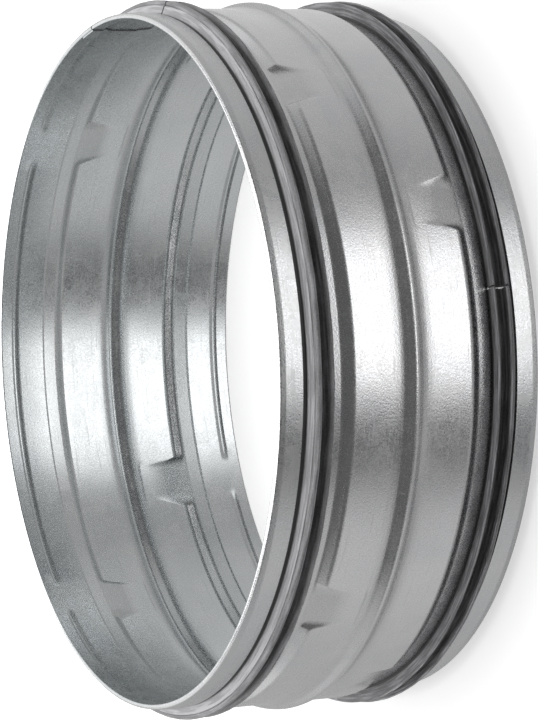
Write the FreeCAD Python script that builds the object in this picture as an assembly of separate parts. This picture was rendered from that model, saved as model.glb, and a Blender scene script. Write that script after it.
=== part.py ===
import FreeCAD, Part
import math
import os

Vector = FreeCAD.Vector
AXIS = Vector(0, 0, 1)
ORIGIN = Vector(0, 0, 0)

# Coupling nipple for round duct: one formed sheet shell with a lip seal at each end.
# Millimetres. The duct axis is Z and the lower rim stands on Z = 0.

# Duct and overall sizes
duct_bore = 200.0
slide_room = 0.6
overall_length = 77.0

# Formed sheet, with radial depths measured from the plain panels
sheet_thickness = 0.5
seat_depth = 2.5
seat_length = 14.0
band_rise = 0.6
band_length = 4.3
step_run = 2.6
soft_step_run = 8.2

# Folded-back rim that clamps the foot of the seal
hem_gap = 0.7
hem_round = 0.5
collar_length = 6.8

# Central stop ridge
ridge_height = 1.8
ridge_width = 6.0
ridge_crest = 0.9

# Unpressed lands that interrupt the step, with their angles about the axis in degrees
land_count = 4
land_angle = 4.4
land_blend = 2.0
lower_land_phase = 23.5
upper_land_phase = 47.5

# Lap of the sheet's two ends, pressed nearly flush on the inside
lap_edge_angle = 9.0
lap_width = 8.0
lap_step = 0.25

# Rubber seals
seal_crush = 1.8
inner_lip_drop = 0.8
lip_tip = 0.4
lip_lean = 3.2
lip_spacing = 3.2
lip_root = 2.9
web_height = 1.1
foot_start = 1.3
tuck_room = 0.05
joint_gap = 0.6
lower_joint_angle = -80.0
upper_joint_angle = -9.0

# Radii and heights that follow from the sizes above
half_sheet = sheet_thickness / 2
panel_radius = duct_bore / 2 - slide_room
panel_middle = panel_radius - half_sheet
seat_radius = panel_radius - seat_depth
seat_middle = seat_radius - half_sheet
rim_radius = seat_radius - sheet_thickness
collar_bore = seat_radius + hem_gap
collar_radius = collar_bore + sheet_thickness
lip_radius = duct_bore / 2 + seal_crush
middle = overall_length / 2


def end_path(pressed):
    """Middle line of one end of the wall as (radius, height), from the rim to the ridge.

    The pressing is 1 where the tool shaped the step and 0 on the lands between.
    """
    run = soft_step_run + (step_run - soft_step_run) * pressed
    band_end = seat_length + band_length
    return [
        (seat_middle, sheet_thickness),
        (seat_middle, seat_length),
        (seat_middle + band_rise, band_end),
        (panel_middle, band_end + run),
        (panel_middle, middle - ridge_width / 2),
        (panel_middle + ridge_height, middle - ridge_crest / 2),
    ]


def flipped(path):
    """The same points at the other end of the fitting."""
    return [(radius, overall_length - height) for radius, height in path[::-1]]


def offset_path(path, distance):
    """The path moved sideways by a distance, outward where it is positive."""
    normals = []
    for (r0, z0), (r1, z1) in zip(path[:-1], path[1:]):
        length = math.hypot(r1 - r0, z1 - z0)
        normals.append(((z1 - z0) / length, (r0 - r1) / length))
    before = [normals[0]] + normals
    after = normals + [normals[-1]]
    moved = []
    for (radius, height), (ra, za), (rb, zb) in zip(path, before, after):
        scale = distance / (1 + ra * rb + za * zb)
        moved.append((radius + (ra + rb) * scale, height + (za + zb) * scale))
    return moved


def shell_section(pressed_low, pressed_high, lap=0.0):
    """Corners of the sheet's section. The lap is what the second layer adds on the inside."""
    path = end_path(pressed_low) + flipped(end_path(pressed_high))
    inner = offset_path(path, -half_sheet - lap)
    outer = offset_path(path, half_sheet)
    hem = [
        (rim_radius, sheet_thickness),
        (rim_radius + hem_round, 0),
        (collar_radius - hem_round, 0),
        (collar_radius, hem_round),
        (collar_radius, collar_length),
        (collar_bore, collar_length),
        (collar_bore, sheet_thickness),
    ]
    upper_hem = flipped(hem)
    if not lap:
        hem = hem[1:]
        upper_hem = upper_hem[:-1]
    return inner + upper_hem[::-1] + outer[::-1] + hem[::-1]


def place(corner, angle):
    """A (radius, height) corner turned about the axis."""
    turn = math.radians(angle)
    return Vector(corner[0] * math.cos(turn), corner[0] * math.sin(turn), corner[1])


def section_face(corners, angle):
    return Part.Face(Part.makePolygon([place(corner, angle) for corner in corners + corners[:1]]))


def swept(corners, start, end):
    """The section revolved about the duct axis between two angles."""
    return section_face(corners, start).revolve(ORIGIN, AXIS, end - start)


def blended(first, start, second, end):
    """A short flat-sided transition between two sections with matching corners."""
    faces = [section_face(first, start), section_face(second, end)]
    for here in range(len(first)):
        a, b = place(first[here - 1], start), place(first[here], start)
        c, d = place(second[here], end), place(second[here - 1], end)
        if first[here - 1] == second[here - 1] and first[here] == second[here]:
            outlines = [[a, b, c, d, a]]
        else:
            outlines = [[a, b, c, a], [a, c, d, a]]
        faces += [Part.Face(Part.makePolygon(outline)) for outline in outlines]
    skin = Part.makeShell(faces)
    skin.sewShape()
    solid = Part.makeSolid(skin)
    return solid if solid.Volume > 0 else solid.reversed()


def land(centre, upper):
    """The short sector that the pressing tool leaves low, with its two ends."""
    half = land_angle / 2
    pressed = shell_section(1, 1)
    plain = shell_section(1, 0) if upper else shell_section(0, 1)
    return [
        blended(pressed, centre - half - land_blend, plain, centre - half),
        swept(plain, centre - half, centre + half),
        blended(plain, centre + half, pressed, centre + half + land_blend),
    ]


def make_shell():
    """The formed sheet: pressed sectors, the lands between them and the lap."""
    pitch = 360.0 / land_count
    reach = land_angle / 2 + land_blend
    lap_start = lap_edge_angle - math.degrees(lap_width / seat_middle)
    pressed = shell_section(1, 1)
    solids = [swept(shell_section(1, 1, lap_step), lap_start, lap_edge_angle)]
    for index in range(land_count):
        low = lower_land_phase + index * pitch
        high = upper_land_phase + index * pitch
        solids += land(low, False) + land(high, True)
        solids.append(swept(pressed, low + reach, high - reach))
        solids.append(swept(pressed, high + reach, low + pitch - reach))
    return solids[0].multiFuse(solids[1:]).removeSplitter()


def seal_section():
    """Corners of the lower seal: a foot under the collar and two lips that lean inward."""
    foot_top = collar_bore - tuck_room
    root = collar_length + tuck_room
    second = root + lip_spacing
    web = seat_radius + web_height
    end = seat_length - tuck_room
    inner_lip = lip_radius - inner_lip_drop
    return [
        (seat_radius, foot_start),
        (seat_radius, end),
        (web, end),
        (inner_lip, second + lip_lean + lip_tip),
        (inner_lip, second + lip_lean),
        (web, root + lip_root),
        (lip_radius, root + lip_lean + lip_tip),
        (lip_radius, root + lip_lean),
        (foot_top, root),
        (foot_top, foot_start),
    ]


def make_seal(upper):
    """One seal strip, with the butt joint where its ends meet."""
    joint = math.degrees(joint_gap / lip_radius)
    section = flipped(seal_section()) if upper else seal_section()
    angle = upper_joint_angle if upper else lower_joint_angle
    return swept(section, angle + joint / 2, angle + 360 - joint / 2)


pieces = {
    "duct_shell": make_shell(),
    "lower_seal": make_seal(False),
    "upper_seal": make_seal(True),
}

os.makedirs("parts", exist_ok=True)
for name, shape in pieces.items():
    shape.exportStep("parts/" + name + ".step")
    print(name, len(shape.Solids), shape.isValid(), round(shape.Volume, 1), len(shape.Faces))
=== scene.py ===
"""Dressed model of a round duct coupling nipple: a formed sheet shell and two rubber lip seals."""
import logging
import math
from contextlib import contextmanager
from dataclasses import dataclass, field
from enum import Enum
from typing import Callable, Iterable, Iterator

import bmesh
import bpy
from mathutils import Matrix, Vector


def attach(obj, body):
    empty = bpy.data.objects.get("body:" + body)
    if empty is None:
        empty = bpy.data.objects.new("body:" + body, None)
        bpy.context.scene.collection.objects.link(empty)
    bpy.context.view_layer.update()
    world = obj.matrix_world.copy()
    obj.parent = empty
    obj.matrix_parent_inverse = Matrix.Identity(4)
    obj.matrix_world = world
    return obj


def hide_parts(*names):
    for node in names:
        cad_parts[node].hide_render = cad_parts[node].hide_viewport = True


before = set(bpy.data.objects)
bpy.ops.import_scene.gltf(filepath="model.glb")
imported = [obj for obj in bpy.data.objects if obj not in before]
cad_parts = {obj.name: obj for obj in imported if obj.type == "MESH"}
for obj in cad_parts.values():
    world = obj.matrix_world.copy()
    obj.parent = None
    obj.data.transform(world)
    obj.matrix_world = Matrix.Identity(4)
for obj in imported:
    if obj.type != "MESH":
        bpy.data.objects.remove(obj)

log = logging.getLogger("coupling")
MM = 0.001
Corner = tuple[float, float]
Test = Callable[[Vector], bool]


class End(Enum):
    """The two ends of the fitting, which mirror each other."""

    LOWER = "lower"
    UPPER = "upper"


# Hand tools


def activate(piece: bpy.types.Object) -> None:
    """Selects one piece alone and makes it the active one."""
    bpy.ops.object.select_all(action="DESELECT")
    piece.select_set(True)
    bpy.context.view_layer.objects.active = piece


@contextmanager
def editing(piece: bpy.types.Object) -> Iterator[None]:
    """Edit mode on one piece, with vertices as what is selected.

    Args:
        piece: The mesh object to edit.
    """
    activate(piece)
    bpy.ops.object.mode_set(mode="EDIT")
    bpy.ops.mesh.select_mode(type="VERT")
    try:
        yield
    finally:
        bpy.ops.object.mode_set(mode="OBJECT")


def pick(piece: bpy.types.Object, test: Test) -> int:
    """Selects the vertices that pass a test, in edit mode.

    Args:
        piece: The mesh object in edit mode.
        test: Takes a place in metres and says whether a vertex there is meant.

    Returns:
        How many vertices are selected.
    """
    mesh = bmesh.from_edit_mesh(piece.data)
    count = 0
    for vertex in mesh.verts:
        vertex.select = test(vertex.co)
        count += vertex.select
    mesh.select_flush_mode()
    bmesh.update_edit_mesh(piece.data, loop_triangles=False, destructive=False)
    return count


def pick_faces(piece: bpy.types.Object, test: Callable[[Vector, Vector], bool]) -> int:
    """Selects the faces that pass a test on their middle and normal, in edit mode.

    Args:
        piece: The mesh object in edit mode.
        test: Takes the middle and the normal of a face.

    Returns:
        How many faces are selected.
    """
    bpy.ops.mesh.select_mode(type="FACE")
    bpy.ops.mesh.select_all(action="DESELECT")
    mesh = bmesh.from_edit_mesh(piece.data)
    mesh.normal_update()
    count = 0
    for face in mesh.faces:
        face.select = test(face.calc_center_median(), face.normal)
        count += face.select
    mesh.select_flush_mode()
    bmesh.update_edit_mesh(piece.data, loop_triangles=False, destructive=False)
    return count


def azimuth(place: Vector) -> float:
    """Angle of a place about the duct axis, in degrees from 0 to 360."""
    return math.degrees(math.atan2(place.y, place.x)) % 360


def radius(place: Vector) -> float:
    """Distance of a place from the duct axis, in millimetres."""
    return math.hypot(place.x, place.y) / MM


def smooth(value: float) -> float:
    """An even rise from 0 to 1 with soft ends."""
    value = min(max(value, 0.0), 1.0)
    return value * value * (3 - 2 * value)


def draw_chain(name: str, corners: list[Corner], start: float, closed: bool = False) -> bpy.types.Object:
    """A section drawn vertex by vertex in the half plane at one angle.

    Args:
        name: Name of the new piece.
        corners: The section's (radius, height) corners in millimetres.
        start: Angle of the half plane in degrees.
        closed: Whether the last corner joins the first.

    Returns:
        The piece, a chain of edges.
    """
    turn = math.radians(start)
    places = [Vector((r * math.cos(turn), r * math.sin(turn), z)) * MM for r, z in corners]
    bpy.ops.object.select_all(action="DESELECT")
    bpy.ops.mesh.primitive_plane_add(size=MM, location=(0, 0, 0))
    piece = bpy.context.object
    piece.name = name
    piece.data.name = name
    with editing(piece):
        bpy.ops.mesh.select_all(action="SELECT")
        bpy.ops.mesh.merge(type="CENTER")
        bpy.ops.transform.translate(value=places[0])
        for here, there in zip(places[:-1], places[1:]):
            bpy.ops.mesh.extrude_region_move(TRANSFORM_OT_translate={"value": there - here})
        if closed:
            pick(piece, lambda co: (co - places[0]).length < 1e-7 or (co - places[-1]).length < 1e-7)
            bpy.ops.mesh.edge_face_add()
    return piece


def round_corners(piece: bpy.types.Object, corners: Iterable[Corner], start: float, reach: float, cuts: int) -> None:
    """Rounds corners of a drawn section.

    Args:
        piece: The chain to round.
        corners: The (radius, height) corners in millimetres to round.
        start: Angle of the section's half plane in degrees.
        reach: How far the rounding reaches along each side, in millimetres.
        cuts: Straight runs in each rounding.
    """
    turn = math.radians(start)
    places = [Vector((r * math.cos(turn), r * math.sin(turn), z)) * MM for r, z in corners]
    with editing(piece):
        pick(piece, lambda co: any((co - place).length < 2e-6 for place in places))
        bpy.ops.mesh.bevel(offset=reach * MM, segments=cuts, affect="VERTICES", clamp_overlap=True)


def spin_on(angle: float, steps: int) -> None:
    """Spins the selected section on about the duct axis, in edit mode.

    Args:
        angle: How far to go, in degrees.
        steps: How many columns of faces to make.
    """
    turn = -math.radians(angle)
    bpy.ops.mesh.spin(steps=steps, angle=turn, center=(0, 0, 0), axis=(0, 0, 1), dupli=False)


def apply_all(piece: bpy.types.Object) -> None:
    """Applies every modifier of a piece."""
    activate(piece)
    for modifier in list(piece.modifiers):
        bpy.ops.object.modifier_apply(modifier=modifier.name)


def finish_piece(piece: bpy.types.Object, node: str, finish: bpy.types.Material, angle: float) -> None:
    """Shades a piece, gives it its finish and puts it in its node's place.

    Args:
        piece: The modelled piece.
        node: The frame's node that it stands for.
        finish: The material.
        angle: Edges sharper than this many degrees stay crisp.
    """
    activate(piece)
    bpy.ops.object.shade_smooth_by_angle(angle=math.radians(angle))
    flats = piece.modifiers.new("flats", "WEIGHTED_NORMAL")
    flats.keep_sharp = True
    apply_all(piece)
    piece.data.materials.clear()
    piece.data.materials.append(finish)
    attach(piece, "root")
    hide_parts(node)
    log.info("%s: %d faces", piece.name, len(piece.data.polygons))


# Finishes


class Sheet:
    """A node tree with short ways to add nodes and join them."""

    def __init__(self, tree: bpy.types.NodeTree) -> None:
        """Takes over a node tree."""
        self.tree = tree

    def add(self, kind: str, values: dict | None = None, **settings: object) -> bpy.types.Node:
        """A new node.

        Args:
            kind: The node's type name, without its common start.
            values: What its inputs get, by name or number: a plain value or another node's output.
            settings: What its own options are set to.

        Returns:
            The node.
        """
        node = self.tree.nodes.new("ShaderNode" + kind)
        for option, value in settings.items():
            setattr(node, option, value)
        for socket, value in (values or {}).items():
            if isinstance(value, bpy.types.NodeSocket):
                self.tree.links.new(value, node.inputs[socket])
            else:
                node.inputs[socket].default_value = value
        return node

    def math(self, operation: str, *values: object, clamp: bool = False) -> bpy.types.NodeSocket:
        """The output of a new math node."""
        return self.add("Math", dict(enumerate(values)), operation=operation, use_clamp=clamp).outputs[0]

    def ramp(self, value: object, low: float, high: float, to_low: float = 0.0, to_high: float = 1.0) -> object:
        """A value stretched smoothly from one range to another."""
        values = {"Value": value, "From Min": low, "From Max": high, "To Min": to_low, "To Max": to_high}
        return self.add("MapRange", values, interpolation_type="SMOOTHSTEP").outputs[0]

    def mix(self, factor: object, first: object, second: object) -> object:
        """A colour between two others."""
        node = self.add("Mix", {0: factor, 6: first, 7: second}, data_type="RGBA")
        return node.outputs[2]

    def group(self, group: bpy.types.NodeTree, values: dict) -> bpy.types.Node:
        """A node group placed in this tree with its own values."""
        node = self.tree.nodes.new("ShaderNodeGroup")
        node.node_tree = group
        for socket, value in values.items():
            if isinstance(value, bpy.types.NodeSocket):
                self.tree.links.new(value, node.inputs[socket])
            else:
                node.inputs[socket].default_value = value
        return node


def new_group(name: str, inputs: dict[str, tuple], outputs: dict[str, str]) -> tuple[Sheet, object, object]:
    """An empty node group with named inputs and outputs.

    Args:
        name: The group's name.
        inputs: Socket kind and first value by name.
        outputs: Socket kind by name.

    Returns:
        The group's sheet, its input node and its output node.
    """
    tree = bpy.data.node_groups.new(name, "ShaderNodeTree")
    for label, (kind, value) in inputs.items():
        socket = tree.interface.new_socket(label, in_out="INPUT", socket_type="NodeSocket" + kind)
        if value is not None:
            socket.default_value = value
    for label, kind in outputs.items():
        tree.interface.new_socket(label, in_out="OUTPUT", socket_type="NodeSocket" + kind)
    return Sheet(tree), tree.nodes.new("NodeGroupInput"), tree.nodes.new("NodeGroupOutput")


def make_round_place() -> bpy.types.NodeTree:
    """Group that gives a point's radius, height and place unrolled round the duct, and which way it faces."""
    sheet, _, result = new_group(
        "round_place",
        {},
        {"Radius": "Float", "Height": "Float", "Unrolled": "Vector", "Place": "Vector", "Inside": "Float", "Up": "Float"},
    )
    coordinates = sheet.add("TexCoord").outputs
    place = coordinates["Object"]
    normal = sheet.add("SeparateXYZ", {0: coordinates["Normal"]}).outputs
    parts = sheet.add("SeparateXYZ", {0: place}).outputs
    squared = sheet.math("ADD", sheet.math("POWER", parts[0], 2.0), sheet.math("POWER", parts[1], 2.0))
    across = sheet.math("SQRT", squared)
    around = sheet.math("MULTIPLY", sheet.math("ARCTAN2", parts[1], parts[0]), 0.1)
    unrolled = sheet.add("CombineXYZ", {0: around, 1: parts[2], 2: across}).outputs[0]
    outward = sheet.math("MULTIPLY_ADD", parts[0], normal[0], sheet.math("MULTIPLY", parts[1], normal[1]))
    inside = sheet.math("LESS_THAN", outward, 0.0)
    sockets = (across, parts[2], unrolled, place, inside, normal[2])
    for slot, socket in enumerate(sockets):
        sheet.tree.links.new(socket, result.inputs[slot])
    return sheet.tree


def make_grain() -> bpy.types.NodeTree:
    """Group that gives a fine speckle and a broad mottle, each from 0 to 1."""
    sheet, given, result = new_group(
        "surface_grain",
        {"Place": ("Vector", None), "Speckle Scale": ("Float", 900.0), "Mottle Scale": ("Float", 60.0)},
        {"Speckle": "Float", "Mottle": "Float", "Raw": "Float"},
    )
    speckle = sheet.add(
        "TexNoise", {"Vector": given.outputs["Place"], "Scale": given.outputs["Speckle Scale"], "Detail": 4.0}
    )
    mottle = sheet.add(
        "TexNoise", {"Vector": given.outputs["Place"], "Scale": given.outputs["Mottle Scale"], "Detail": 2.0}
    )
    sheet.tree.links.new(speckle.outputs[0], result.inputs["Raw"])
    sheet.tree.links.new(sheet.ramp(speckle.outputs[0], 0.3, 0.7), result.inputs["Speckle"])
    sheet.tree.links.new(sheet.ramp(mottle.outputs[0], 0.3, 0.7), result.inputs["Mottle"])
    return sheet.tree


@dataclass(frozen=True)
class Effects:
    """The node groups that the finishes share."""

    place: bpy.types.NodeTree = field(default_factory=make_round_place)
    grain: bpy.types.NodeTree = field(default_factory=make_grain)


def new_material(name: str) -> tuple[bpy.types.Material, Sheet, bpy.types.Node]:
    """A new material with its sheet and its Principled shader."""
    material = bpy.data.materials.new(name)
    material.use_nodes = True
    sheet = Sheet(material.node_tree)
    shader = next(node for node in material.node_tree.nodes if node.type == "BSDF_PRINCIPLED")
    return material, sheet, shader


@dataclass(frozen=True)
class GalvanisedFinish:
    """Zinc-coated sheet: fine speckle, faint crystals, roll lines on the collars and light rubbing."""

    effects: Effects
    pale: tuple[float, float, float, float] = (0.705, 0.70, 0.70, 1.0)
    deep: tuple[float, float, float, float] = (0.56, 0.57, 0.585, 1.0)
    base_roughness: float = 0.20
    worn: tuple[float, float, float, float] = (0.66, 0.655, 0.63, 1.0)
    # Colour of the narrow dark line along the lap edge.
    seam_line_dark: tuple[float, float, float, float] = (0.10, 0.10, 0.10, 1.0)
    # Painted reflection tint: faces that look into the duct are multiplied by this slightly cooler colour.
    inside: tuple[float, float, float, float] = (0.97, 1.0, 1.0, 1.0)
    seam_angle: float = 9.3
    seam_half_mm: float = 0.42
    collar_inner_mm: float = 97.55
    collar_height_mm: float = 7.2
    overall_mm: float = 77.0

    def build(self) -> bpy.types.Material:
        """The finished material."""
        material, sheet, shader = new_material("galvanised_sheet_finish")
        where = sheet.group(self.effects.place, {}).outputs
        grain = sheet.group(
            self.effects.grain, {"Place": where["Place"], "Speckle Scale": 2100.0, "Mottle Scale": 45.0}
        ).outputs
        crystals = sheet.add("TexVoronoi", {"Vector": where["Place"], "Scale": 260.0}).outputs["Color"]
        crystal = sheet.add("SeparateColor", {0: crystals}).outputs[0]

        from_middle = sheet.math("ABSOLUTE", sheet.math("SUBTRACT", where["Height"], self.overall_mm * MM / 2))
        near_rim = sheet.math("GREATER_THAN", from_middle, (self.overall_mm / 2 - self.collar_height_mm) * MM)
        outside = sheet.math("GREATER_THAN", where["Radius"], self.collar_inner_mm * MM)
        collar = sheet.math("MULTIPLY", near_rim, outside)
        lines_at = sheet.add("VectorMath", {0: where["Unrolled"], 1: (40.0, 3600.0, 3600.0)}, operation="MULTIPLY")
        lines = sheet.add("TexNoise", {"Vector": lines_at.outputs[0], "Scale": 1.0, "Detail": 3.0}).outputs[0]
        rubs_at = sheet.add("VectorMath", {0: where["Unrolled"], 1: (60.0, 1400.0, 300.0)}, operation="MULTIPLY")
        rubs = sheet.add("TexNoise", {"Vector": rubs_at.outputs[0], "Scale": 1.0, "Detail": 5.0}).outputs[0]
        rub = sheet.ramp(rubs, 0.58, 0.75)

        shade = sheet.math("MULTIPLY_ADD", grain["Speckle"], 0.3, 0.08)
        shade = sheet.math("ADD", shade, sheet.math("MULTIPLY", crystal, 0.25))
        shade = sheet.math("ADD", shade, sheet.math("MULTIPLY", grain["Mottle"], 0.3))
        shade = sheet.math("SUBTRACT", shade, sheet.math("MULTIPLY", sheet.math("MULTIPLY", collar, lines), 0.5))
        pale = sheet.mix(sheet.math("MULTIPLY", collar, 0.8), self.pale, self.worn)
        colour = sheet.mix(sheet.math("MINIMUM", sheet.math("MAXIMUM", shade, 0.0), 1.0), self.deep, pale)
        # A narrow dark line along the lap edge, the whole height of the sheet, inside and out.
        around = sheet.add("SeparateXYZ", {0: where["Unrolled"]}).outputs[0]
        off_seam = sheet.math("ABSOLUTE", sheet.math("SUBTRACT", around, 0.1 * math.radians(self.seam_angle)))
        seam = sheet.ramp(off_seam, 0.0, self.seam_half_mm * MM, 1.0, 0.0)
        colour = sheet.mix(sheet.math("MULTIPLY", seam, 0.9), colour, self.seam_line_dark)
        # Painted reflection tint on the inside faces.
        inside_reflection_tint = {0: where["Inside"], 6: colour, 7: self.inside}
        colour = sheet.add("Mix", inside_reflection_tint, data_type="RGBA", blend_type="MULTIPLY").outputs[2]
        roughness = sheet.math("MULTIPLY_ADD", grain["Speckle"], 0.10, self.base_roughness)
        roughness = sheet.math("MULTIPLY_ADD", crystal, 0.05, roughness)
        roughness = sheet.math("MULTIPLY_ADD", rub, 0.10, roughness)
        roughness = sheet.math("MULTIPLY_ADD", collar, 0.03, roughness)

        wobble = sheet.add("TexNoise", {"Vector": where["Place"], "Scale": 28.0, "Detail": 1.0}).outputs[0]
        relief = sheet.math("MULTIPLY", wobble, 10.0)
        depth = sheet.math("MULTIPLY_ADD", where["Inside"], -0.9, 1.5)
        relief = sheet.math("MULTIPLY_ADD", grain["Raw"], depth, relief)
        relief = sheet.math("MULTIPLY_ADD", sheet.math("MULTIPLY", collar, lines), 0.7, relief)
        relief = sheet.math("MULTIPLY_ADD", rub, 0.08, relief)
        bump = sheet.add("Bump", {"Strength": 1.0, "Distance": 0.00003, "Height": relief}).outputs[0]
        for socket, value in (("Base Color", colour), ("Roughness", roughness), ("Normal", bump)):
            sheet.tree.links.new(value, shader.inputs[socket])
        shader.inputs["Metallic"].default_value = 1.0
        return material


@dataclass(frozen=True)
class RubberFinish:
    """Moulded rubber: near black, with pale bloomed streaks, a painted sheen on the lips' faces and tips, and
    painted shade at the lip roots.

    Radii and distances from the rim are in millimetres.
    """

    effects: Effects
    dark: tuple[float, float, float, float] = (0.05, 0.05, 0.052, 1.0)
    # Pale tone for both the bloomed streaks and the painted sheen.
    bloom_and_sheen: tuple[float, float, float, float] = (0.56, 0.555, 0.575, 1.0)
    overall_mm: float = 77.0
    root: tuple[float, float] = (97.7, 98.1)
    tip: tuple[float, float] = (100.1, 100.7)
    first_lip: tuple[float, float] = (10.6, 10.9)

    def build(self) -> bpy.types.Material:
        """The finished material."""
        material, sheet, shader = new_material("seal_rubber_finish")
        where = sheet.group(self.effects.place, {}).outputs
        grain = sheet.group(
            self.effects.grain, {"Place": where["Place"], "Speckle Scale": 2200.0, "Mottle Scale": 120.0}
        ).outputs
        streaks_at = sheet.add("VectorMath", {0: where["Unrolled"], 1: (90.0, 1500.0, 1500.0)}, operation="MULTIPLY")
        streaks = sheet.add("TexNoise", {"Vector": streaks_at.outputs[0], "Scale": 1.0, "Detail": 4.0}).outputs[0]
        streak = sheet.ramp(streaks, 0.38, 0.66)
        above = sheet.math("SUBTRACT", where["Height"], self.overall_mm * MM / 2)
        outward = sheet.math("MULTIPLY", where["Up"], sheet.math("SIGN", above))
        from_rim = sheet.math("SUBTRACT", self.overall_mm * MM / 2, sheet.math("ABSOLUTE", above))
        tip = sheet.ramp(where["Radius"], self.tip[0] * MM, self.tip[1] * MM)
        first = sheet.ramp(from_rim, self.first_lip[0] * MM, self.first_lip[1] * MM, 1.0, 0.0)
        flank = sheet.math("MULTIPLY", first, sheet.math("SUBTRACT", 1.0, tip))
        # Painted sheen: the first lip's face and the lip tips are lightened where they face the rim, in place of the
        # lamp's reflection.
        painted_sheen = sheet.math("MULTIPLY_ADD", tip, 0.16, sheet.math("MULTIPLY", flank, 0.74))
        painted_sheen = sheet.math("MULTIPLY", painted_sheen, sheet.ramp(outward, 0.0, 0.55))
        painted_sheen = sheet.math("MULTIPLY", painted_sheen, sheet.math("MULTIPLY_ADD", streak, 0.38, 0.70))
        amount = sheet.math("MULTIPLY", streak, sheet.math("MULTIPLY_ADD", grain["Mottle"], 0.20, 0.12))
        # Adds the painted sheen, and a little painted highlight on the lip tips, to the streaks.
        amount = sheet.math("ADD", painted_sheen, sheet.math("MULTIPLY_ADD", tip, 0.06, amount))
        # Painted sheen on the faces toward the fitting's middle, stronger on the streaks.
        inner = sheet.ramp(outward, -0.5, 0.0, 1.0, 0.0)
        inner = sheet.math("MULTIPLY", inner, sheet.math("MULTIPLY_ADD", streak, 0.28, 0.10))
        amount = sheet.math("ADD", amount, inner)
        amount = sheet.math("MULTIPLY_ADD", grain["Speckle"], 0.12, sheet.math("ADD", amount, 0.02))
        # Painted shade: the lip roots stay bare dark rubber, as if shaded by the collar's end.
        lip = sheet.ramp(where["Radius"], self.root[0] * MM, self.root[1] * MM)
        colour = sheet.mix(sheet.math("MULTIPLY", amount, lip, clamp=True), self.dark, self.bloom_and_sheen)
        roughness = sheet.math("MULTIPLY_ADD", streak, 0.12, 0.42)
        relief = sheet.math("MULTIPLY_ADD", streaks, 1.0, sheet.math("MULTIPLY", grain["Speckle"], 0.25))
        bump = sheet.add("Bump", {"Strength": 0.6, "Distance": 0.00006, "Height": relief}).outputs[0]
        for socket, value in (("Base Color", colour), ("Roughness", roughness), ("Normal", bump)):
            sheet.tree.links.new(value, shader.inputs[socket])
        return material


# The shell


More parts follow.
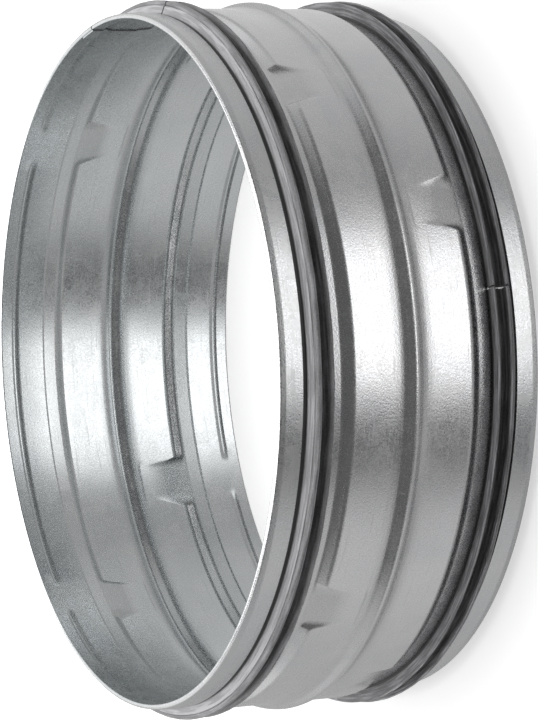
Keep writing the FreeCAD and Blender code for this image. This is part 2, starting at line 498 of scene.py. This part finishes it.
@dataclass
class DuctShell:
    """The formed sheet: folded rims, seats, interrupted steps, panels and the stop ridge.

    All lengths are in millimetres and all angles in degrees. Radii are to the middle of the sheet.
    """

    finish: bpy.types.Material
    length: float = 77.0
    sheet: float = 0.5
    seat_radius: float = 96.65
    seat_length: float = 14.0
    crease: float = 0.2
    band_radius: float = 97.25
    band_end: float = 18.5
    panel_radius: float = 99.15
    step_run: float = 2.35
    soft_run: float = 9.5
    ridge_radius: float = 100.95
    crest_half: float = 0.45
    collar_radius: float = 97.85
    collar_end: float = 6.8
    fold_top: float = 97.08
    shoulder: Corner = (97.6, 0.66)
    flare_end: float = 2.05
    foot_rows: tuple[Corner, ...] = ((31.0, 0.0), (33.0, 0.05), (34.8, 0.2), (36.0, 0.5))
    bead_rows: tuple[Corner, ...] = ((3.5, 0.0), (3.9, 0.6), (4.3, 1.0), (4.9, 1.0), (5.6, 0.5), (6.3, 0.0))
    bead_depth: float = 0.45
    land_half: float = 2.9
    land_blends: tuple[float, float] = (1.5, 2.6)
    lower_land: float = 23.5
    upper_land: float = 47.5
    seam: float = 9.0
    slit: float = 0.4
    slit_depth: float = 0.45
    lap_end: float = 13.9
    lap_step: float = 0.38
    quarter: float = 90.0
    rim_room: float = 0.01

    def half_section(self) -> list[Corner]:
        """Corners of the lower half's middle line, from the collar's end to the ridge's crest."""
        fold = self.sheet / 2 + self.rim_room
        corners = [
            (self.collar_radius, self.collar_end),
            (self.collar_radius, self.flare_end),
            self.shoulder,
            (self.fold_top, fold),
            (self.seat_radius, fold),
        ]
        corners += [(self.seat_radius, height) for height, _ in self.bead_rows]
        corners += [
            (self.seat_radius, self.seat_length - 0.2),
            (self.seat_radius + self.crease, self.seat_length + 0.3),
            (self.band_radius, self.band_end),
            (self.panel_radius, self.band_end + self.step_run),
            (self.panel_radius, 25.5),
        ]
        corners += [(self.panel_radius + rise, height) for height, rise in self.foot_rows]
        corners.append((self.ridge_radius, self.length / 2 - self.crest_half))
        return corners

    def flip(self, corners: Iterable[Corner]) -> list[Corner]:
        """The same corners at the upper end."""
        return [(r, self.length - z) for r, z in corners][::-1]

    def draw_section(self) -> bpy.types.Object:
        """The sheet's whole middle line with its bends rounded."""
        half = self.half_section()
        piece = draw_chain("duct_shell_formed_sheet", half + self.flip(half), 0.0)
        bends = [
            ([half[4]], 0.29, 4),
            ([half[3]], 0.05, 2),
            ([half[1]], 0.2, 2),
            ([half[2]], 0.09, 2),
            ([half[-9], half[-10]], 0.15, 2),
            ([(self.band_radius, self.band_end)], 0.6, 3),
            ([(self.panel_radius, self.band_end + self.step_run)], 0.75, 4),
            ([half[-2], half[-3], half[-4]], 0.55, 3),
            ([half[-1]], 0.43, 4),
        ]
        for corners, reach, cuts in bends:
            round_corners(piece, corners + self.flip(corners), 0.0, reach, cuts)
        return piece

    def columns(self) -> list[tuple[float, int]]:
        """Spans of a quarter turn with how many columns of faces each gets."""
        before, after = (self.land_half + blend for blend in self.land_blends)
        marks = [
            (self.seam, 5),
            (self.seam + self.slit, 1),
            (self.lap_end, 3),
            (self.lower_land - before, 6),
            (self.lower_land + after, 24),
            (self.upper_land - before, 9),
            (self.upper_land + after, 24),
            (self.quarter, 22),
        ]
        spans = []
        here = 0.0
        for mark, steps in marks:
            spans.append((mark - here, steps))
            here = mark
        return spans

    def openness(self, angle: float, centre: float) -> float:
        """How far a column belongs to a land: 0 where the sheet is pressed and 1 on the land."""
        blend = self.land_blends[angle > centre]
        return 1 - smooth((abs(angle - centre) - self.land_half) / blend)

    def level(self, height: float, end: End) -> float:
        """A height from the nearer rim, turned into a height from the floor, in millimetres."""
        return height if end is End.LOWER else self.length - height

    def press_beads(self, piece: bpy.types.Object, angle: float, end: End, openness: float) -> None:
        """Presses one column's share of the narrow bead next to a rim outward."""
        for height, share in self.bead_rows:
            if not share:
                continue
            level = self.level(height, end) * MM
            found = pick(
                piece,
                lambda co: abs(co.z - level) < 1e-5
                and abs(azimuth(co) - angle) < 0.02
                and abs(radius(co) - self.seat_radius) < 0.05,
            )
            scale = 1 + self.bead_depth * share * (1 - openness) / self.seat_radius
            if found:
                bpy.ops.transform.resize(value=(scale, scale, 1), center_override=(0, 0, level))

    def soften_step(self, piece: bpy.types.Object, angle: float, end: End, openness: float) -> None:
        """Draws one column's step out into the gentle ramp of a land."""
        run = self.step_run + (self.soft_run - self.step_run) * openness
        stretch = run / self.step_run
        foot = self.band_end
        top = self.band_end + self.step_run + 0.8
        stop = self.foot_rows[1][0] + 0.8
        squeeze = (stop - foot - (top - foot) * stretch) / (stop - top)
        spans = ((top, stop, stop, squeeze), (foot, top, foot, stretch))
        for low, high, fixed, factor in spans:
            edges = sorted((self.level(low, end) * MM, self.level(high, end) * MM))
            pick(
                piece,
                lambda co: edges[0] - 1e-7 < co.z < edges[1] + 1e-7
                and abs(azimuth(co) - angle) < 0.02
                and radius(co) > self.seat_radius + 0.2,
            )
            centre = (0, 0, self.level(fixed, end) * MM)
            bpy.ops.transform.resize(value=(1, 1, factor), center_override=centre)

    def shape_quarter(self, piece: bpy.types.Object) -> None:
        """Spins a quarter of the sheet and forms its two lands and the narrow beads."""
        angles = [0.0]
        with editing(piece):
            bpy.ops.mesh.select_all(action="SELECT")
            for span, steps in self.columns():
                spin_on(span, steps)
                angles += [angles[-1] + span * (step + 1) / steps for step in range(steps)]
            bpy.ops.mesh.select_all(action="SELECT")
            bpy.ops.mesh.remove_doubles(threshold=2e-6)
            for end, centre in ((End.LOWER, self.lower_land), (End.UPPER, self.upper_land)):
                for angle in angles:
                    openness = self.openness(angle, centre)
                    self.press_beads(piece, angle, end, openness)
                    if openness > 0:
                        self.soften_step(piece, angle, end, openness)

    def close_ring(self, piece: bpy.types.Object) -> None:
        """Copies the quarter round the axis and welds the four together."""
        with editing(piece):
            bpy.ops.mesh.select_all(action="SELECT")
            bpy.ops.mesh.spin(
                steps=3, angle=math.radians(270), center=(0, 0, 0), axis=(0, 0, 1), dupli=True
            )
            bpy.ops.mesh.select_all(action="SELECT")
            bpy.ops.mesh.remove_doubles(threshold=8e-6)
            bpy.ops.mesh.normals_make_consistent(inside=False)

    def thicken(self, piece: bpy.types.Object) -> None:
        """Gives the middle line the sheet's thickness."""
        wall = piece.modifiers.new("sheet", "SOLIDIFY")
        wall.thickness = self.sheet * MM
        wall.offset = 0.0
        wall.use_even_offset = True
        apply_all(piece)

    def press_lap(self, piece: bpy.types.Object) -> None:
        """Raises the lap's second layer inside and cuts the slit where the ends meet at the rims."""
        middle = (self.seam + self.slit + self.lap_end) / 2
        reach = (self.lap_end - self.seam - self.slit) / 2
        with editing(piece):
            pick_faces(
                piece,
                lambda place, normal: abs(azimuth(place) - middle) < reach
                and normal.x * place.x + normal.y * place.y < -0.3 * math.hypot(place.x, place.y)
                and 1.2 < place.z / MM < self.length - 1.2
                and radius(place) < self.ridge_radius
                and not (radius(place) > self.collar_radius - 0.3 and min(place.z / MM, self.length - place.z / MM) < 7),
            )
            bpy.ops.mesh.extrude_region_shrink_fatten(
                TRANSFORM_OT_shrink_fatten={"value": self.lap_step * MM, "use_even_offset": True}
            )
        slit_middle = self.seam + self.slit / 2
        with editing(piece):
            pick_faces(
                piece,
                lambda place, normal: abs(azimuth(place) - slit_middle) < self.slit / 2
                and min(place.z / MM, self.length - place.z / MM) < self.collar_end - 0.1
                and (
                    normal.x * place.x + normal.y * place.y > 0.3 * math.hypot(place.x, place.y)
                    or min(place.z / MM, self.length - place.z / MM) < 1.2
                )
                and (radius(place) > self.shoulder[0] or min(place.z / MM, self.length - place.z / MM) < 0.55),
            )
            bpy.ops.mesh.extrude_region_shrink_fatten(
                TRANSFORM_OT_shrink_fatten={"value": -self.slit_depth * MM}
            )

    def build(self) -> bpy.types.Object:
        """Models and dresses the shell.

        Returns:
            The finished piece.
        """
        piece = self.draw_section()
        self.shape_quarter(piece)
        self.close_ring(piece)
        self.thicken(piece)
        self.press_lap(piece)
        finish_piece(piece, "duct_shell", self.finish, 32)
        return piece


# The seals


@dataclass
class LipSeal:
    """A rubber strip with two lips that lean toward the fitting's middle.

    All lengths are in millimetres and all angles in degrees.
    """

    end: End
    joint: float
    finish: bpy.types.Material
    node: str
    length: float = 77.0
    gap: float = 0.6
    steps: int = 420
    lip_radius: float = 101.62
    section: tuple[Corner, ...] = (
        (96.93, 6.45),
        (96.93, 13.9),
        (98.0, 13.92),
        (99.6, 13.98),
        (101.3, 14.3),
        (101.4, 13.95),
        (99.8, 12.85),
        (98.35, 11.9),
        (97.95, 10.9),
        (98.1, 10.05),
        (99.8, 10.2),
        (101.5, 10.6),
        (101.62, 10.0),
        (101.15, 9.4),
        (100.5, 9.15),
        (100.3, 9.4),
        (100.12, 8.98),
        (98.0, 8.3),
        (97.6, 7.9),
        (97.56, 6.45),
    )

    def corners(self) -> list[Corner]:
        """The strip's section at its own end of the fitting."""
        if self.end is End.LOWER:
            return list(self.section)
        return [(r, self.length - z) for r, z in self.section]

    def wave_lips(self, piece: bpy.types.Object) -> None:
        """Lets the lips run slightly uneven round the ring."""
        lips = piece.vertex_groups.new(name="lips")
        for vertex in piece.data.vertices:
            share = smooth((radius(vertex.co) - 98.2) / 3.4)
            if share:
                lips.add([vertex.index], share, "REPLACE")
        for size, strength, direction in ((0.020, 0.45, "Z"), (0.0035, 0.16, "NORMAL")):
            pattern = bpy.data.textures.new(f"{piece.name}_{direction}", "CLOUDS")
            pattern.noise_scale = size
            wave = piece.modifiers.new("wave", "DISPLACE")
            wave.texture = pattern
            wave.texture_coords = "LOCAL"
            wave.direction = direction
            wave.strength = strength * MM
            wave.mid_level = 0.55
            wave.vertex_group = "lips"
        apply_all(piece)

    def build(self) -> bpy.types.Object:
        """Models and dresses the strip.

        Returns:
            The finished piece.
        """
        corners = self.corners()
        half_gap = math.degrees(self.gap / self.lip_radius) / 2
        start = self.joint + half_gap
        piece = draw_chain(f"{self.node}_rubber_strip", corners, start, closed=True)
        round_corners(piece, [corners[4], corners[5], corners[11], corners[12]], start, 0.14, 2)
        round_corners(piece, [corners[2], corners[7], corners[9], corners[17]], start, 0.3, 2)
        with editing(piece):
            bpy.ops.mesh.select_all(action="SELECT")
            spin_on(360 - 2 * half_gap, self.steps)
            bpy.ops.mesh.select_all(action="SELECT")
            bpy.ops.mesh.remove_doubles(threshold=1e-6)
            bpy.ops.mesh.fill_holes(sides=0)
            bpy.ops.mesh.select_all(action="SELECT")
            bpy.ops.mesh.normals_make_consistent(inside=False)
        self.wave_lips(piece)
        finish_piece(piece, self.node, self.finish, 40)
        return piece


# The studio


@dataclass
class Panel:
    """A soft lamp: where it is, what it faces, its size in metres and its brightness."""

    name: str
    place: tuple[float, float, float]
    target: tuple[float, float, float]
    size: tuple[float, float]
    radiance: float
    tint: tuple[float, float, float] = (1.0, 1.0, 1.0)

    def build(self) -> None:
        """Adds the lamp, hidden from the camera alone."""
        lamp = bpy.data.lights.new(self.name, "AREA")
        lamp.shape = "RECTANGLE"
        lamp.size, lamp.size_y = self.size
        lamp.energy = self.radiance * math.pi * self.size[0] * self.size[1]
        lamp.color = self.tint
        holder = bpy.data.objects.new(self.name, lamp)
        holder.location = self.place
        aim = Vector(self.target) - Vector(self.place)
        holder.rotation_euler = aim.to_track_quat("-Z", "Y").to_euler()
        holder.visible_camera = False
        bpy.context.scene.collection.objects.link(holder)


@dataclass
class Surround:
    """What the sheet mirrors from below: a wide pale ground with one bright window in front.

    The stops give the brightness at each angle, in degrees from the front toward the right of the standing part.
    """

    depth: float = 2.0
    size: float = 44.0
    peak: float = 2.4
    middle: float = 0.42
    haze: float = 0.55
    stops: tuple[tuple[float, float], ...] = (
        (-180, 0.50), (-144, 0.42), (-110, 0.58), (-70, 0.74), (-50, 0.72), (-38, 0.22), (-24, 0.12),
        (-15, 0.30), (-8, 2.40), (34, 2.40), (40, 0.70), (50, 0.40), (64, 0.44), (82, 0.62), (110, 0.66),
        (145, 0.78), (165, 0.80), (180, 0.50),
    )

    def build(self) -> None:
        """Adds the ground far below the floor, where only reflections reach it."""
        bpy.ops.object.select_all(action="DESELECT")
        bpy.ops.mesh.primitive_plane_add(size=self.size, location=(0, 0, 0))
        ground = bpy.context.object
        ground.name = "mirrored_ground"
        ground.location.z = -self.depth
        material = bpy.data.materials.new("mirrored_ground_finish")
        material.use_nodes = True
        material.cycles.emission_sampling = "NONE"
        material.node_tree.nodes.clear()
        sheet = Sheet(material.node_tree)
        parts = sheet.add("SeparateXYZ", {0: sheet.add("TexCoord").outputs["Object"]}).outputs
        turn = sheet.math("ARCTAN2", parts[0], sheet.math("MULTIPLY", parts[1], -1.0))
        along = sheet.math("MULTIPLY_ADD", turn, 0.5 / math.pi, 0.5)
        ramp = sheet.add("ValToRGB", {"Fac": along})
        first, last = ramp.color_ramp.elements[0], ramp.color_ramp.elements[1]
        for angle, level in self.stops[1:-1]:
            element = ramp.color_ramp.elements.new(0.5 + angle / 360)
            element.color = (level / self.peak,) * 3 + (1.0,)
        for element, level in ((first, self.stops[0][1]), (last, self.stops[-1][1])):
            element.color = (level / self.peak,) * 3 + (1.0,)
        squared = sheet.math("ADD", sheet.math("POWER", parts[0], 2.0), sheet.math("POWER", parts[1], 2.0))
        away = sheet.math("DIVIDE", sheet.math("SQRT", squared), self.depth)
        level = sheet.math("MULTIPLY", ramp.outputs[0], self.peak)
        steady = sheet.math("MINIMUM", level, self.haze)
        window = sheet.math("MULTIPLY", sheet.math("SUBTRACT", level, steady), sheet.ramp(away, 2.3, 3.9, 1.0, 0.0))
        level = sheet.math("ADD", window, steady)
        apart = sheet.ramp(away, 1.1, 1.75)
        below = sheet.math("MULTIPLY", sheet.math("SUBTRACT", 1.0, apart), self.middle)
        level = sheet.math("MULTIPLY_ADD", level, apart, below)
        glow = sheet.add("Emission", {"Color": (1.0, 0.998, 0.998, 1.0), "Strength": level})
        out = sheet.add("OutputMaterial")
        material.node_tree.links.new(glow.outputs[0], out.inputs["Surface"])
        ground.data.materials.append(material)
        ground.visible_camera = False
        ground.visible_diffuse = False
        ground.visible_shadow = False


@dataclass
class Studio:
    """Plain pale floor, soft lamps and the camera at the photograph's viewing angle."""

    floor_size: float = 8.0
    floor_colour: tuple[float, float, float, float] = (0.62, 0.62, 0.62, 1.0)
    floor_glow: float = 0.50
    sky_front: float = 0.14
    sky_back: float = 0.60
    wall_behind: float = 0.50
    camera_place: tuple[float, float, float] = (0.01575, -0.8401, 0.4406)
    camera_right: tuple[float, float, float] = (-0.03739, -0.43765, -0.89838)
    camera_up: tuple[float, float, float] = (0.99916, 0.0, -0.04158)
    lens: float = 108.07
    lamps: tuple[Panel, ...] = (
        Panel("overhead", (0.0, 0.18, 1.0), (0.0, 0.18, 0.0), (1.3, 1.14), 2.8),
    )

    def build_floor(self) -> None:
        """A flat pale floor that reads white yet keeps the object's shadow."""
        bpy.ops.object.select_all(action="DESELECT")
        bpy.ops.mesh.primitive_plane_add(size=self.floor_size, location=(0, 0, 0))
        floor = bpy.context.object
        floor.name = "studio_floor"
        floor.visible_glossy = False
        material = bpy.data.materials.new("floor_finish")
        material.use_nodes = True
        tree = material.node_tree
        tree.nodes.clear()
        sheet = Sheet(tree)
        seen = sheet.math("MULTIPLY", sheet.add("LightPath").outputs["Is Camera Ray"], self.floor_glow)
        glow = sheet.add("Emission", {"Color": (1, 1, 1, 1), "Strength": seen})
        matt = sheet.add("BsdfDiffuse", {"Color": self.floor_colour})
        both = sheet.add("AddShader", {0: glow.outputs[0], 1: matt.outputs[0]})
        out = sheet.add("OutputMaterial")
        tree.links.new(both.outputs[0], out.inputs["Surface"])
        floor.data.materials.append(material)

    def build_sky(self) -> None:
        """A soft surround, dim in front where the room is dark, that the camera sees as white."""
        world = bpy.data.worlds.new("studio_surround")
        bpy.context.scene.world = world
        world.use_nodes = True
        world.node_tree.nodes.clear()
        sheet = Sheet(world.node_tree)
        seen = sheet.add("LightPath").outputs["Is Camera Ray"]
        parts = sheet.add("SeparateXYZ", {0: sheet.add("TexCoord").outputs["Generated"]}).outputs
        level = sheet.ramp(parts[1], -0.38, 0.0, self.sky_front, self.sky_back)
        wall = sheet.math("MULTIPLY", sheet.ramp(parts[1], 0.35, 0.6), sheet.ramp(parts[2], 0.02, 0.15))
        level = sheet.math("MULTIPLY_ADD", wall, self.wall_behind, level)
        strength = sheet.math("MAXIMUM", seen, level)
        glow = sheet.add("Background", {"Color": (1, 1, 1, 1), "Strength": strength})
        out = sheet.add("OutputWorld")
        world.node_tree.links.new(glow.outputs[0], out.inputs["Surface"])

    def build_camera(self) -> None:
        """The camera where the photograph's lines say that it stood."""
        lens = bpy.data.cameras.new("camera")
        lens.sensor_fit = "VERTICAL"
        lens.sensor_height = 24.0
        lens.lens = self.lens
        lens.clip_start = 0.05
        holder = bpy.data.objects.new("camera", lens)
        right = Vector(self.camera_right).normalized()
        up = Vector(self.camera_up)
        up = (up - right * up.dot(right)).normalized()
        back = right.cross(up)
        turned = Matrix((right, up, back)).transposed().to_4x4()
        holder.matrix_world = Matrix.Translation(self.camera_place) @ turned
        bpy.context.scene.collection.objects.link(holder)
        bpy.context.scene.camera = holder

    def build(self) -> None:
        """Sets the whole studio up."""
        self.build_floor()
        Surround().build()
        self.build_sky()
        for lamp in self.lamps:
            lamp.build()
        self.build_camera()
        bpy.context.scene.view_settings.view_transform = "Standard"


def main() -> None:
    """Builds the fitting piece by piece, then the studio round it."""
    logging.basicConfig(level=logging.INFO, format="%(name)s: %(message)s")
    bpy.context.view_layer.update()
    effects = Effects()
    metal = GalvanisedFinish(effects).build()
    rubber = RubberFinish(effects).build()
    DuctShell(metal).build()
    LipSeal(End.LOWER, -80.0, rubber, "lower_seal").build()
    LipSeal(End.UPPER, -9.0, rubber, "upper_seal").build()
    Studio().build()


if __name__ == "__main__":
    main()
